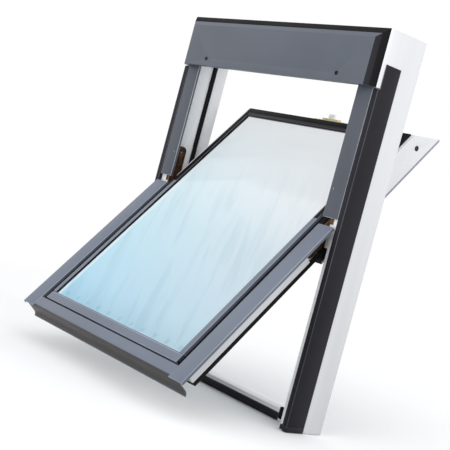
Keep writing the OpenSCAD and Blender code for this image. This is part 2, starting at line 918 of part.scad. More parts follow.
// The bottom cover's section: a flat face, a rounded fold and a drip lip that curves outwards
module bottom_cover_section() {
    fold_z = lip_wall + fold_r;
    fold_y = fold_r - cover_rise;
    translate([-cover_rise, fold_z]) square([cover_t, bottom_cover_top - fold_z]);
    translate([-cover_rise, bottom_cover_top - cover_t]) square([trim_top + cover_rise, cover_t]);
    translate([fold_y, fold_z]) difference() {
        intersection() {
            circle(fold_r);
            translate([-fold_r, -fold_r]) square(fold_r);
        }
        circle(fold_r - cover_t);
    }
    translate([fold_y, lip_wall]) square([lip_depth - fold_y, cover_t]);
    translate([lip_depth, lip_wall - lip_curve_r]) intersection() {
        difference() {
            circle(lip_curve_r + cover_t);
            circle(lip_curve_r);
        }
        polygon([
            [0, 0],
            [0, 2 * lip_curve_r],
            [2 * lip_curve_r * sin(lip_turn), 2 * lip_curve_r],
            [2 * lip_curve_r * sin(lip_turn), 2 * lip_curve_r * cos(lip_turn)]
        ]);
    }
}

module sash_bottom_cover() {
    color(cover_grey) in_sash() {
        across(2 * (cover_in - seat_gap)) bottom_cover_section();
        across(2 * lip_half) intersection() {
            bottom_cover_section();
            translate([cover_face + seat_gap, sash_cover_end - sash_depth])
                square([sash_depth, sash_depth + fold_r]);
        }
    }
}

module lower_sash_seal() {
    color(black) in_sash() {
        on_both_sides() span([stile_out, flange_back, sash_bottom],
            [flange_out, seal_back, -seal_start]);
        span([-stile_out - eps, flange_back, sash_bottom],
            [stile_out + eps, seal_back, sash_bottom + seal_w]);
    }
}

// Latch on the sloping top, with its striker on the head

// Places a piece on the sloping top: Z stands off the slope, Y runs up it
module on_bevel() {
    translate([0, latch_y, latch_z]) rotate([45, 0, 0]) children();
}

module tongue_slot(low, high) {
    room = shoe_clear;
    span([-tongue_l / 2 - room, -tongue_t / 2 - room, low],
        [tongue_l / 2 + room, tongue_t / 2 + room, high]);
}

module latch_case() {
    plate_half = latch_case_w / 2 + latch_plate_margin;
    color(zinc) in_sash() on_bevel() difference() {
        union() {
            upright(0, latch_plate_t) rounded([-latch_plate_l / 2, -plate_half],
                [latch_plate_l / 2, plate_half], latch_plate_r);
            upright(latch_plate_t - eps, latch_case_h) rounded([-latch_case_l / 2, -latch_case_w / 2],
                [latch_case_l / 2, latch_case_w / 2], latch_case_r);
        }
        tongue_slot(-1, latch_case_h + 1);
    }
}

module latch_tongue() {
    nose = latch_case_h + tongue_out;
    color(steel) in_sash() on_bevel() rotate([90, 0, 90]) linear_extrude(tongue_l, center = true) polygon([
        [-tongue_t / 2, -tongue_tail],
        [tongue_t / 2, -tongue_tail],
        [tongue_t / 2, nose],
        [0, nose],
        [-tongue_t / 2, nose - tongue_t]
    ]);
}

module striker() {
    color(steel) in_frame() across(striker_w) {
        translate([striker_depth, striker_low]) square([striker_t, head_z - striker_low]);
        translate([striker_depth, head_z - striker_t]) square([striker_foot, striker_t]);
    }
}

// Control bar on the room side of the top rail

// Places a piece about the bar's pivot
module at_bar() {
    translate([0, bar_y, bar_z]) children();
}

module bar_section() {
    rounded([-bar_t / 2, bar_t / 2 - bar_h], [bar_t / 2, bar_t / 2], bar_t * 0.49);
    translate([bar_t * 0.2, bar_t - bar_h]) circle(bar_t * 0.62);
}

module control_bar() {
    color(steel) in_sash() at_bar() across(bar_l - 2 * bar_cap_t) bar_section();
}

module bar_end_caps() {
    color(dark_grey) in_sash() at_bar() on_both_sides() {
        translate([bar_half - bar_cap_t / 2, 0, 0]) across(bar_cap_t) bar_section();
        rod_x(bar_pin_r, bar_half - eps, bar_half + bar_play + bar_bracket_w);
    }
}

module bar_brackets() {
    eye_r = bar_pin_r + bar_eye_wall;
    bar_gap = bar_half + bar_play;
    color(dark_grey) in_sash() at_bar() on_both_sides() difference() {
        union() {
            rod_x(eye_r, bar_gap, bar_gap + bar_bracket_w);
            span([bar_gap, -bar_off, -eye_r], [bar_gap + bar_bracket_w, 0, eye_r]);
            span([bar_gap, -bar_off, -bar_plate_reach],
                [bar_gap + 3 * bar_bracket_w, bar_plate_t - bar_off, bar_plate_reach]);
        }
        rod_x(bar_pin_r + pin_clear, bar_half, bar_gap + bar_bracket_w + 1);
    }
}

// Barrel bolt in the right stile, and the bush that it meets when the sash is turned over

module bush_place() {
    rotate([-bolt_angle, 0, 0]) translate([0, bolt_depth, bolt_up]) children();
}

module bolt_bush() {
    color(black) in_frame() bush_place() difference() {
        rod_x(bolt_bush_r, jamb_in - rib_w, bush_end);
        rod_x(bolt_r + seat_gap, jamb_in - rib_w - 1, bush_end + 1);
    }
}

// The bolt's bore, and the slot for its thumb stud
module bolt_room() {
    slot_r = bolt_stud_r + seat_gap;
    translate([0, bolt_depth, bolt_up]) {
        rod_x(bolt_r + pin_clear, stile_out - bolt_l - 1, stile_out + 1);
        for (x = [bolt_stud_x, bolt_stud_x + bolt_travel]) translate([x, 0, 0]) rotate([-90, 0, 0])
            cylinder(r = slot_r, h = sash_back);
        span([bolt_stud_x, 0, -slot_r], [bolt_stud_x + bolt_travel, sash_back, slot_r]);
    }
}

module barrel_bolt() {
    color(steel) in_sash() translate([0, bolt_depth, bolt_up]) {
        rod_x(bolt_r, stile_out - bolt_l, stile_out);
        translate([bolt_stud_x, 0, 0]) rotate([-90, 0, 0])
            cylinder(r = bolt_stud_r, h = sash_back - bolt_depth + knob_gap + knob_t);
        translate([bolt_stud_x, sash_back - bolt_depth + knob_gap, 0]) rotate([-90, 0, 0])
            cylinder(r = 2 * bolt_stud_r, h = knob_t);
    }
}

frame_left_jamb();
frame_right_jamb();
frame_head();
frame_sill();
top_hood();
hood_edge_strip();
hood_brackets();
hood_screws();
upper_left_cover();
upper_right_cover();
left_side_profile();
right_side_profile();
profile_end_caps();
upper_frame_seal();
sill_cover();
sill_corner_blocks();
jamb_strips();
left_frame_hinge();
right_frame_hinge();
frame_hinge_screws();
striker();
bolt_bush();
sash_left_stile();
sash_right_stile();
sash_top_rail();
sash_bottom_rail();
outer_pane();
inner_pane();
pane_spacer();
left_bead();
right_bead();
top_bead();
bottom_bead();
sash_trim();
sash_left_cover();
sash_right_cover();
sash_bottom_cover();
lower_sash_seal();
left_sash_hinge();
right_sash_hinge();
sash_hinge_screws();
latch_case();
latch_tongue();
bar_brackets();
control_bar();
bar_end_caps();
barrel_bolt();
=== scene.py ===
import json
import math
import bmesh
import bpy
from mathutils import Matrix, Vector


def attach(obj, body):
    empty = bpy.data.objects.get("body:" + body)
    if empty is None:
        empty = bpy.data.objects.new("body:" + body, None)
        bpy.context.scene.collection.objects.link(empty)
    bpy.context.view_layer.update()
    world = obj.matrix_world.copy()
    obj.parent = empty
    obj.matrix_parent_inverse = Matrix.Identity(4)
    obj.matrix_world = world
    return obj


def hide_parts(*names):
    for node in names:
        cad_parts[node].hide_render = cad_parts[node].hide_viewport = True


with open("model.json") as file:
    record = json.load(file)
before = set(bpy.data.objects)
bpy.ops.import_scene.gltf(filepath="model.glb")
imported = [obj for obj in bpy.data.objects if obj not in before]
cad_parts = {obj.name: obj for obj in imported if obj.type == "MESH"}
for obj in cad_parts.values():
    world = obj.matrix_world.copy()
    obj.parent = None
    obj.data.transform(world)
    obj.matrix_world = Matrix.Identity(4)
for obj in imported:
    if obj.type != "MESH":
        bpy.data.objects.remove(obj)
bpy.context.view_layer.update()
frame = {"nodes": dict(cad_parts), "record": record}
scene = bpy.context.scene
scene.view_settings.view_transform = "Standard"
bodyOf = {node: body for body, nodes in frame["record"]["behaviour"]["bodies"].items() for node in nodes}
print("window frame loaded:", len(frame["nodes"]), "nodes")

pivot = {"y": -0.063, "z": 0.503, "openDeg": 38.2}  # axis of the sash, and its opening angle at rest
openRad = math.radians(pivot["openDeg"])


def sashPoint(x, depth, height):
    # a point of the closed sash, given from its axis in mm, in its open place
    y = depth * math.cos(openRad) + height * math.sin(openRad)
    z = -depth * math.sin(openRad) + height * math.cos(openRad)
    return Vector((x / 1000, pivot["y"] + y / 1000, pivot["z"] + z / 1000))


def sashAim(depth, height):
    return (sashPoint(0, depth, height) - sashPoint(0, 0, 0)).normalized()


def framePoint(x, depth, height):
    return Vector((x / 1000, pivot["y"] + depth / 1000, pivot["z"] + height / 1000))


pointOn = {"frame": framePoint, "sash": sashPoint}
toRight = Vector((1, 0, 0))
sashUp, sashBack = sashAim(0, 1), sashAim(1, 0)


# camera at the photograph's angle
cameraFit = {
    "place": (2.1297, -1.8289, 0.5105),
    "right": (0.6055, 0.7525, 0.2589),
    "down": (0.187, 0.1818, -0.9654),
    "lens": 84.3, "sensor": 36, "farthest": 50,
}
right = Vector(cameraFit["right"]).normalized()
back = right.cross(-Vector(cameraFit["down"])).normalized()
up = back.cross(right).normalized()
cameraData = bpy.data.cameras.new("photoCamera")
cameraData.lens = cameraFit["lens"]
cameraData.sensor_width = cameraFit["sensor"]
cameraData.clip_end = cameraFit["farthest"]
camera = bpy.data.objects.new("photoCamera", cameraData)
camera.matrix_world = Matrix.Translation(cameraFit["place"]) @ Matrix((right, up, back)).transposed().to_4x4()
scene.collection.objects.link(camera)
scene.camera = camera
print("camera set")


# short ways to add and join nodes

def addNode(tree, kind, **values):
    node = tree.nodes.new(kind)
    for key, value in values.items():
        setattr(node, key, value)
    return node


def feed(tree, item, socket):
    # a number or a colour is set on the socket itself, an output is linked to it
    if isinstance(item, (int, float)):
        socket.default_value = item
    elif isinstance(item, tuple):
        socket.default_value = (*item, 1)
    else:
        tree.links.new(item, socket)


def remap(tree, value, fromLow, fromHigh, toLow, toHigh):
    node = addNode(tree, "ShaderNodeMapRange")
    ends = {"Value": value, "From Min": fromLow, "From Max": fromHigh, "To Min": toLow, "To Max": toHigh}
    for label, item in ends.items():
        feed(tree, item, node.inputs[label])
    return node.outputs["Result"]


def mixColor(tree, factor, first, second, blend="MIX"):
    node = addNode(tree, "ShaderNodeMix", data_type="RGBA", blend_type=blend)
    for socket, item in ((node.inputs[0], factor), (node.inputs[6], first), (node.inputs[7], second)):
        feed(tree, item, socket)
    return node.outputs[2]


def mixShaders(tree, factor, first, second):
    node = addNode(tree, "ShaderNodeMixShader")
    for socket, item in zip(node.inputs, (factor, first, second)):
        feed(tree, item, socket)
    return node.outputs[0]


def combine(tree, operation, first, second=0):
    node = addNode(tree, "ShaderNodeMath", operation=operation)
    for socket, item in zip(node.inputs, (first, second)):
        feed(tree, item, socket)
    return node.outputs[0]


def joinVector(tree, *parts):
    node = addNode(tree, "ShaderNodeCombineXYZ")
    for socket, item in zip(node.inputs, parts):
        feed(tree, item, socket)
    return node.outputs[0]


def noise(tree, place, scale, detail, distortion=0):
    node = addNode(tree, "ShaderNodeTexNoise")
    settings = {"Vector": place, "Scale": scale, "Detail": detail, "Distortion": distortion}
    for label, item in settings.items():
        feed(tree, item, node.inputs[label])
    return node.outputs["Fac"]


def objectPlace(tree, turn=(0, 0, 0), stretch=(1, 1, 1)):
    coordinate = addNode(tree, "ShaderNodeTexCoord")
    mapping = addNode(tree, "ShaderNodeMapping")
    mapping.inputs["Rotation"].default_value = turn
    mapping.inputs["Scale"].default_value = stretch
    feed(tree, coordinate.outputs["Object"], mapping.inputs["Vector"])
    return mapping.outputs["Vector"]


# shader groups that several finishes share
grainOutputs = {"Color": "Color", "Roughness": "Float", "Height": "Float"}


def newGroup(name, inputs):
    group = bpy.data.node_groups.new(name, "ShaderNodeTree")
    for way, sockets in (("INPUT", inputs), ("OUTPUT", grainOutputs)):
        for label, kind in sockets.items():
            group.interface.new_socket(name=label, in_out=way, socket_type="NodeSocket" + kind)
    return group, group.nodes.new("NodeGroupInput").outputs, group.nodes.new("NodeGroupOutput").inputs


# the last two entries spread the painted edge highlight in patches
coatPattern = {"patchDetail": 4, "grainDetail": 2, "tone": (0.35, 0.65), "gloss": (0.3, 0.7),
               "edgeHighlight": (0.3, 0.6), "leastHighlight": 0.35}


def coatGrainGroup(pattern):
    # patches of slightly different tone and gloss, a fine grain over them, and a painted highlight on the
    # rounded edges, stronger in some patches
    group, given, out = newGroup("coatGrain", {
        "Place": "Vector", "Deep": "Color", "Pale": "Color", "Rub": "Color", "Patches": "Float",
        "Grain": "Float", "Smooth": "Float", "Rough": "Float"})
    patch = noise(group, given["Place"], given["Patches"], pattern["patchDetail"])
    fine = noise(group, given["Place"], given["Grain"], pattern["grainDetail"])
    body = mixColor(group, remap(group, patch, *pattern["tone"], 0, 1), given["Deep"], given["Pale"])
    edge = addNode(group, "ShaderNodeAttribute", attribute_name="edge")
    edgeHighlight = combine(group, "MULTIPLY", edge.outputs["Fac"],
                     remap(group, patch, *pattern["edgeHighlight"], pattern["leastHighlight"], 1))
    feed(group, mixColor(group, edgeHighlight, body, given["Rub"]), out["Color"])
    feed(group, remap(group, patch, *pattern["gloss"], given["Smooth"], given["Rough"]), out["Roughness"])
    feed(group, fine, out["Height"])
    return group


timberPattern = {"detail": 6, "distortion": 0.4, "tone": (0.3, 0.62), "gloss": (0.3, 0.7)}


def timberGrainGroup(pattern):
    # grain drawn out along the piece, faint under its lacquer
    group, given, out = newGroup("timberGrain", {
        "Place": "Vector", "Deep": "Color", "Pale": "Color", "Lines": "Float", "Smooth": "Float",
        "Rough": "Float"})
    lines = noise(group, given["Place"], given["Lines"], pattern["detail"], pattern["distortion"])
    tone = remap(group, lines, *pattern["tone"], 0, 1)
    feed(group, mixColor(group, tone, given["Deep"], given["Pale"]), out["Color"])
    feed(group, remap(group, lines, *pattern["gloss"], given["Rough"], given["Smooth"]), out["Roughness"])
    feed(group, lines, out["Height"])
    return group


coatGrain = coatGrainGroup(coatPattern)
timberGrain = timberGrainGroup(timberPattern)


def newFinish(name):
    material = bpy.data.materials.new(name)
    material.use_nodes = True
    tree = material.node_tree
    return material, tree, tree.nodes["Principled BSDF"]


def setShader(shader, values):
    for label, value in values.items():
        shader.inputs[label].default_value = value


def grainFinish(name, group, look, values):
    # each input of the group but the place takes the look's value of the same name
    material, tree, shader = newFinish(name)
    grain = addNode(tree, "ShaderNodeGroup", node_tree=group)
    place = objectPlace(tree, look["turn"], look["stretch"])
    for socket in grain.inputs:
        feed(tree, place if socket.name == "Place" else look[socket.name.lower()], socket)
    bump = addNode(tree, "ShaderNodeBump")
    bump.inputs["Strength"].default_value = look["bump"]
    bump.inputs["Distance"].default_value = look["bumpDistance"]
    feed(tree, grain.outputs["Height"], bump.inputs["Height"])
    feed(tree, bump.outputs["Normal"], shader.inputs["Normal"])
    feed(tree, grain.outputs["Color"], shader.inputs["Base Color"])
    feed(tree, grain.outputs["Roughness"], shader.inputs["Roughness"])
    setShader(shader, values)
    return material


plainCoat = {"turn": (0, 0, 0), "stretch": (1, 1, 1), "metal": 0, "specular": 0.5, "bumpDistance": 0.0004}
# the last colour of each coat is the painted highlight on its rounded edges
coverCoat = {"patches": 5, "grain": 1400, "smooth": 0.34, "rough": 0.46, "bump": 0.08, "specular": 0.35}
coatLooks = {
    # one cover paint in lit and shaded copies, which is painted light: the sash covers' copy is lighter as
    # they face the sky, the hood's copy darker as painted shade, and the upper covers' copy darker still
    "coverPaintLit": dict(
        coverCoat, deep=(0.134, 0.154, 0.198), pale=(0.152, 0.174, 0.223), rub=(0.42, 0.45, 0.5)),
    "coverPaintShaded": dict(
        coverCoat, deep=(0.083, 0.094, 0.117), pale=(0.096, 0.108, 0.134), rub=(0.44, 0.47, 0.52)),
    "coverPaintDeeperShade": dict(
        coverCoat, deep=(0.064, 0.071, 0.088), pale=(0.074, 0.082, 0.101), rub=(0.44, 0.47, 0.52)),
    # painted shade: a darker copy of the cover paint for the drip lip's faces, which point down
    "lipUndersideShade": {
        "deep": (0.052, 0.048, 0.048), "pale": (0.064, 0.059, 0.059), "rub": (0.2, 0.21, 0.23),
        "patches": 9, "grain": 1400, "smooth": 0.4, "rough": 0.55, "bump": 0.1, "specular": 0.25},
    "anthracite": {
        "deep": (0.013, 0.0125, 0.0165), "pale": (0.018, 0.0175, 0.022), "rub": (0.1, 0.1, 0.12),
        "patches": 5, "grain": 1400, "smooth": 0.36, "rough": 0.5, "bump": 0.1, "specular": 0.13},
    "blackRubber": {
        "deep": (0.004, 0.004, 0.005), "pale": (0.007, 0.007, 0.008), "rub": (0.012, 0.012, 0.014),
        "patches": 14, "grain": 700, "smooth": 0.55, "rough": 0.75, "bump": 0.2, "specular": 0.12},
    "darkPlastic": {
        "deep": (0.01, 0.01, 0.012), "pale": (0.015, 0.015, 0.017), "rub": (0.035, 0.035, 0.04),
        "patches": 20, "grain": 900, "smooth": 0.4, "rough": 0.55, "bump": 0.25, "specular": 0.2},
    "spacerMetal": {
        "deep": (0.6, 0.62, 0.65), "pale": (0.72, 0.74, 0.76), "rub": (0.8, 0.8, 0.82),
        "patches": 30, "grain": 600, "smooth": 0.3, "rough": 0.5, "bump": 0.15, "metal": 0.4},
    "bronzeSteel": {
        "deep": (0.05, 0.022, 0.009), "pale": (0.12, 0.055, 0.022), "rub": (0.26, 0.14, 0.07),
        "patches": 40, "grain": 500, "smooth": 0.3, "rough": 0.5, "bump": 0.2, "metal": 0.5},
    "yellowZinc": {
        "deep": (0.6, 0.49, 0.24), "pale": (0.74, 0.64, 0.38), "rub": (0.8, 0.74, 0.55),
        "patches": 45, "grain": 500, "smooth": 0.28, "rough": 0.46, "bump": 0.2, "metal": 0.5},
    "platedSteel": {
        "deep": (0.5, 0.51, 0.53), "pale": (0.62, 0.63, 0.65), "rub": (0.75, 0.75, 0.76),
        "patches": 40, "grain": 900, "smooth": 0.25, "rough": 0.42, "bump": 0.12, "metal": 0.9},
    # painted shade: the barrel bolt is plated steel, darkened for the shade in its recess
    "boltSteelShade": {
        "deep": (0.02, 0.02, 0.022), "pale": (0.035, 0.035, 0.038), "rub": (0.12, 0.12, 0.13),
        "patches": 60, "grain": 900, "smooth": 0.3, "rough": 0.48, "bump": 0.12, "metal": 0.6},
    "paleZinc": {
        "deep": (0.78, 0.78, 0.76), "pale": (0.86, 0.86, 0.84), "rub": (0.9, 0.9, 0.88),
        "patches": 45, "grain": 500, "smooth": 0.28, "rough": 0.46, "bump": 0.15, "metal": 0.2},
    # painted shade: the grey-blue of the chamfers at the back of the stiles, which lie in shade
    "chamferShadeGrey": {
        "deep": (0.26, 0.29, 0.36), "pale": (0.32, 0.35, 0.42), "rub": (0.42, 0.45, 0.52),
        "patches": 20, "grain": 700, "smooth": 0.5, "rough": 0.65, "bump": 0.15, "specular": 0.3},
    "satinBar": {
        "deep": (0.6, 0.61, 0.63), "pale": (0.68, 0.69, 0.71), "rub": (0.78, 0.78, 0.8),
        "patches": 10, "grain": 260, "smooth": 0.3, "rough": 0.42, "bump": 0.1, "metal": 0.9,
        "stretch": (0.04, 1, 1)},
}


def coatFinish(name, look):
    values = {"Metallic": look["metal"], "Specular IOR Level": look["specular"]}
    return grainFinish(name, coatGrain, look, values)


finish = {name: coatFinish(name, dict(plainCoat, **look)) for name, look in coatLooks.items()}

whiteLacquer = {"deep": (0.8, 0.8, 0.82), "pale": (0.83, 0.83, 0.845), "lines": 34, "smooth": 0.3,
                "rough": 0.42, "bump": 0.12, "bumpDistance": 0.0005, "coat": 0.15, "coatRough": 0.2}
timberRuns = {  # how the grain is turned and drawn out along the timbers that run one way
    "lacquerUpright": {"turn": (0, 0, 0), "stretch": (1, 1, 0.05)},
    "lacquerAcross": {"turn": (0, 0, 0), "stretch": (0.05, 1, 1)},
    "lacquerStile": {"turn": (openRad, 0, 0), "stretch": (1, 1, 0.05)},
}


def timberFinish(name, look):
    values = {"Coat Weight": look["coat"], "Coat Roughness": look["coatRough"]}
    return grainFinish(name, timberGrain, look, values)


for name, run in timberRuns.items():
    finish[name] = timberFinish(name, dict(whiteLacquer, **run))


def tintAndLightRamp(tree, value, stops):
    # a new ramp has two stops, which take the two ends that are listed first
    ramp = addNode(tree, "ShaderNodeValToRGB")
    feed(tree, value, ramp.inputs[0])
    shades = ramp.color_ramp.elements
    for number, (at, shade) in enumerate(stops):
        stop = shades[number] if number < len(shades) else shades.new(at)
        stop.position = at
        stop.color = (*shade, 1)
    return ramp.outputs["Color"]


outerLook = {  # places on the pane are in metres, across it and up along it
    "sides": (-0.285, 0.285), "ends": (-0.1, 0.65),
    # the stops are partly the glass's blue tint and partly painted light: paler to the top and right for the
    # sky's reflection and to lift the head's shade on the upper pane
    "leftStops": [(0.0, (0.36, 0.605, 0.745)), (1.0, (0.95, 0.98, 0.99)), (0.09, (0.44, 0.69, 0.83)),
                  (0.43, (0.57, 0.77, 0.85)), (0.68, (0.745, 0.87, 0.915))],
    "rightStops": [(0.0, (0.42, 0.57, 0.65)), (1.0, (0.96, 0.96, 0.97)), (0.09, (0.495, 0.635, 0.72)),
                   (0.43, (0.615, 0.7, 0.745)), (0.68, (0.825, 0.84, 0.855))],
    "bandSide": (-0.273, -0.271), "bandTop": (0.648, 0.65), "band": 0.4, "bandTint": (1.0, 1.0, 1.0),
    # this line and the next draw painted reflections of the pane's ripples: leaning darker lines that fade
    # toward the top; their tint also darkens the joint marks
    "rippleLean": 0.49, "rippleDrawn": 0.12, "runs": 34, "rippleDetail": 3, "rippleBend": 0.5, "rippleSeen": (0.5, 0.68),
    "run": 0.34, "rippleFade": (0.55, 0.85), "rippleAndMarkTint": (0.72, 0.79, 0.83),
    "markEvery": 0.052, "markSeen": (0.45, 0.95), "markFoot": (-0.107, -0.105), "markHead": (-0.095, -0.092),
    "mark": 0.5, "rough": 0.04, "bend": 1.5, "clear": 0.16, "gloss": 0.15,
}
paleTint = [(0.0, (0.9, 0.96, 0.98)), (1.0, (0.96, 0.98, 0.98))]
innerLook = dict(outerLook, leftStops=paleTint, rightStops=paleTint, band=0, run=0, mark=0, clear=0.97,
                 gloss=0.5)


def glassFinish(name, look):
    # pale coated glass: its tint deepens to one lower corner and pales upward, partly the glass's own tint
    # and partly painted light for the sky's reflection and against the head's shade on the upper pane;
    # painted reflections of its ripples lean down it, a paler band over the spacer and the marks of the
    # spacer's joints near the lower edge
    material, tree, shader = newFinish(name)
    place = objectPlace(tree, (openRad, 0, 0))
    parts = addNode(tree, "ShaderNodeSeparateXYZ")
    feed(tree, place, parts.inputs[0])
    across, height = parts.outputs["X"], parts.outputs["Z"]
    upward = remap(tree, height, *look["ends"], 0, 1)
    tintAndLight = mixColor(tree, remap(tree, across, *look["sides"], 0, 1),
                    tintAndLightRamp(tree, upward, look["leftStops"]), tintAndLightRamp(tree, upward, look["rightStops"]))
    band = combine(tree, "MAXIMUM", remap(tree, across, *look["bandSide"], look["band"], 0),
                   remap(tree, height, *look["bandTop"], 0, look["band"]))
    tintAndLight = mixColor(tree, band, tintAndLight, look["bandTint"])
    # painted reflection of the pane's ripples: leaning darker lines, fading toward the top
    lean = addNode(tree, "ShaderNodeMapping")
    lean.inputs["Rotation"].default_value = (0, look["rippleLean"], 0)
    feed(tree, place, lean.inputs["Vector"])
    drawn = addNode(tree, "ShaderNodeVectorMath", operation="MULTIPLY")
    drawn.inputs[1].default_value = (1, 1, look["rippleDrawn"])
    feed(tree, lean.outputs[0], drawn.inputs[0])
    runs = noise(tree, drawn.outputs[0], look["runs"], look["rippleDetail"], look["rippleBend"])
    rippleReflection = combine(tree, "MULTIPLY", remap(tree, runs, *look["rippleSeen"], 0, look["run"]),
                     remap(tree, upward, *look["rippleFade"], 1, 0))
    tintAndLight = mixColor(tree, rippleReflection, tintAndLight, look["rippleAndMarkTint"], "MULTIPLY")
    wave = combine(tree, "SINE", combine(tree, "MULTIPLY", across, 2 * math.pi / look["markEvery"]))
    row = combine(tree, "MULTIPLY", remap(tree, height, *look["markFoot"], 0, 1),
                  remap(tree, height, *look["markHead"], 1, 0))
    marks = combine(tree, "MULTIPLY", remap(tree, wave, *look["markSeen"], 0, look["mark"]), row)
    feed(tree, mixColor(tree, marks, tintAndLight, look["rippleAndMarkTint"], "MULTIPLY"), shader.inputs["Base Color"])
    setShader(shader, {"Roughness": look["rough"], "IOR": look["bend"], "Transmission Weight": look["clear"],
                       "Specular IOR Level": look["gloss"]})
    return material


for name, look in (("outerGlass", outerLook), ("innerGlass", innerLook)):
    finish[name] = glassFinish(name, look)
print("finishes made:", len(finish))

nodeFinish = {
    "lacquerUpright": "frame_left_jamb frame_right_jamb",
    "lacquerAcross": "frame_head frame_sill sash_top_rail sash_bottom_rail",
    "lacquerStile": "sash_left_stile sash_right_stile",
    # the hood, the upper covers and the sash covers take lit and shaded copies of one cover paint (painted
    # light)
    "coverPaintShaded": "top_hood",
    "coverPaintDeeperShade": "upper_left_cover upper_right_cover",
    "coverPaintLit": "left_bead right_bead bottom_bead sash_left_cover sash_right_cover sash_bottom_cover",
    "anthracite": "left_side_profile right_side_profile sill_cover top_bead",
    "blackRubber":
        "hood_edge_strip upper_frame_seal sill_corner_blocks jamb_strips sash_trim lower_sash_seal",
    "darkPlastic": "profile_end_caps bolt_bush bar_end_caps bar_brackets",
    # the barrel bolt takes plated steel darkened as painted shade
    "boltSteelShade": "barrel_bolt",
    "outerGlass": "outer_pane",
    "innerGlass": "inner_pane",
    "spacerMetal": "pane_spacer",
    "bronzeSteel": "left_frame_hinge right_frame_hinge left_sash_hinge right_sash_hinge",
    "yellowZinc": "latch_case",
    "paleZinc": "latch_tongue",
    "platedSteel": "hood_brackets striker frame_hinge_screws sash_hinge_screws hood_screws",
    "satinBar": "control_bar",
}
finishOf = {node: name for name, nodes in nodeFinish.items() for node in nodes.split()}
for node, name in finishOf.items():
    frame["nodes"][node].data.materials.clear()
    frame["nodes"][node].data.materials.append(finish[name])


edgeCut = {"weld": 2e-6, "flatDeg": 0.4, "sharpDeg": 28, "creaseDeg": 40, "segments": 2, "profile": 0.5}


def roundEdges(shape, edges, width):
    # the width is in mm
    return bmesh.ops.bevel(shape, geom=edges, offset=width / 1000, offset_type="OFFSET", affect="EDGES",
                           segments=edgeCut["segments"], profile=edgeCut["profile"], clamp_overlap=True)


def meshOf(shape, name, finishNames):
    mesh = bpy.data.meshes.new(name)
    shape.to_mesh(mesh)
    shape.free()
    mesh.set_sharp_from_angle(angle=math.radians(edgeCut["creaseDeg"]))
    for finishName in finishNames:
        mesh.materials.append(finish[finishName])
    return mesh


def linkPiece(name, mesh, body, *nodes):
    piece = bpy.data.objects.new(name, mesh)
    scene.collection.objects.link(piece)
    if nodes:
        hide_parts(*nodes)
    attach(piece, body)


# rounded edges on the sharp solids; the value is the width of the rounding in mm
softEdges = {
    "top_hood": 1.8, "upper_left_cover": 0.9, "upper_right_cover": 0.9, "left_side_profile": 1.0,
    "right_side_profile": 1.0, "sash_left_cover": 0.7, "sash_right_cover": 0.7, "sash_bottom_cover": 0.5,
    "left_bead": 0.6, "right_bead": 0.6, "top_bead": 0.6, "bottom_bead": 0.6, "sill_cover": 0.5,
    "frame_left_jamb": 1.5, "frame_right_jamb": 1.5, "frame_head": 1.5, "frame_sill": 1.5,
    "sash_left_stile": 1.5, "sash_right_stile": 1.5, "sash_top_rail": 1.5, "sash_bottom_rail": 1.2,
    "profile_end_caps": 0.8, "sill_corner_blocks": 0.6, "latch_case": 0.8, "bar_brackets": 0.8,
    "sash_trim": 0.7, "lower_sash_seal": 2.0, "hood_edge_strip": 0.4, "jamb_strips": 0.3, "striker": 0.5,
    "hood_brackets": 0.5, "left_frame_hinge": 0.4, "right_frame_hinge": 0.4, "left_sash_hinge": 0.4,
    "right_sash_hinge": 0.4, "control_bar": 0.5, "bar_end_caps": 0.8, "latch_tongue": 0.5, "barrel_bolt": 0.5,
}

# faces that carry another finish than the rest of their piece: the way they look, how closely,
# and the height in metres that they lie above
hoodEnd = {"finish": "anthracite", "close": 0.56, "above": 0}
# painted shade: the beads' inner side faces, which lie in shade, take black rubber
beadSideShade = {"finish": "blackRubber", "close": 0.3, "above": 0}
# painted shade: the chamfer at the back of each stile takes a grey-blue coat for the shade on it
stileChamferShade = {"finish": "chamferShadeGrey", "close": 0.97, "above": 0}
stileStep = {"finish": "blackRubber", "close": 0.5, "above": 0.3, "way": -sashUp}
chamfer = {"out": 0.857, "back": 0.514}  # the way that the chamfer at the back of a stile looks
otherFaces = {
    "top_hood": [dict(hoodEnd, way=toRight), dict(hoodEnd, way=-toRight)],
    # painted shade: the bottom cover's faces that point down the sash, at the drip lip, take the darker coat
    "sash_bottom_cover": [{"finish": "lipUndersideShade", "close": 0.55, "above": 0, "way": -sashUp}],
    "left_bead": [dict(beadSideShade, way=toRight)],
    "right_bead": [dict(beadSideShade, way=-toRight)],
    "sash_left_stile": [
        dict(stileChamferShade, way=-chamfer["out"] * toRight + chamfer["back"] * sashBack), stileStep],
    "sash_right_stile": [
        dict(stileChamferShade, way=chamfer["out"] * toRight + chamfer["back"] * sashBack), stileStep],
}


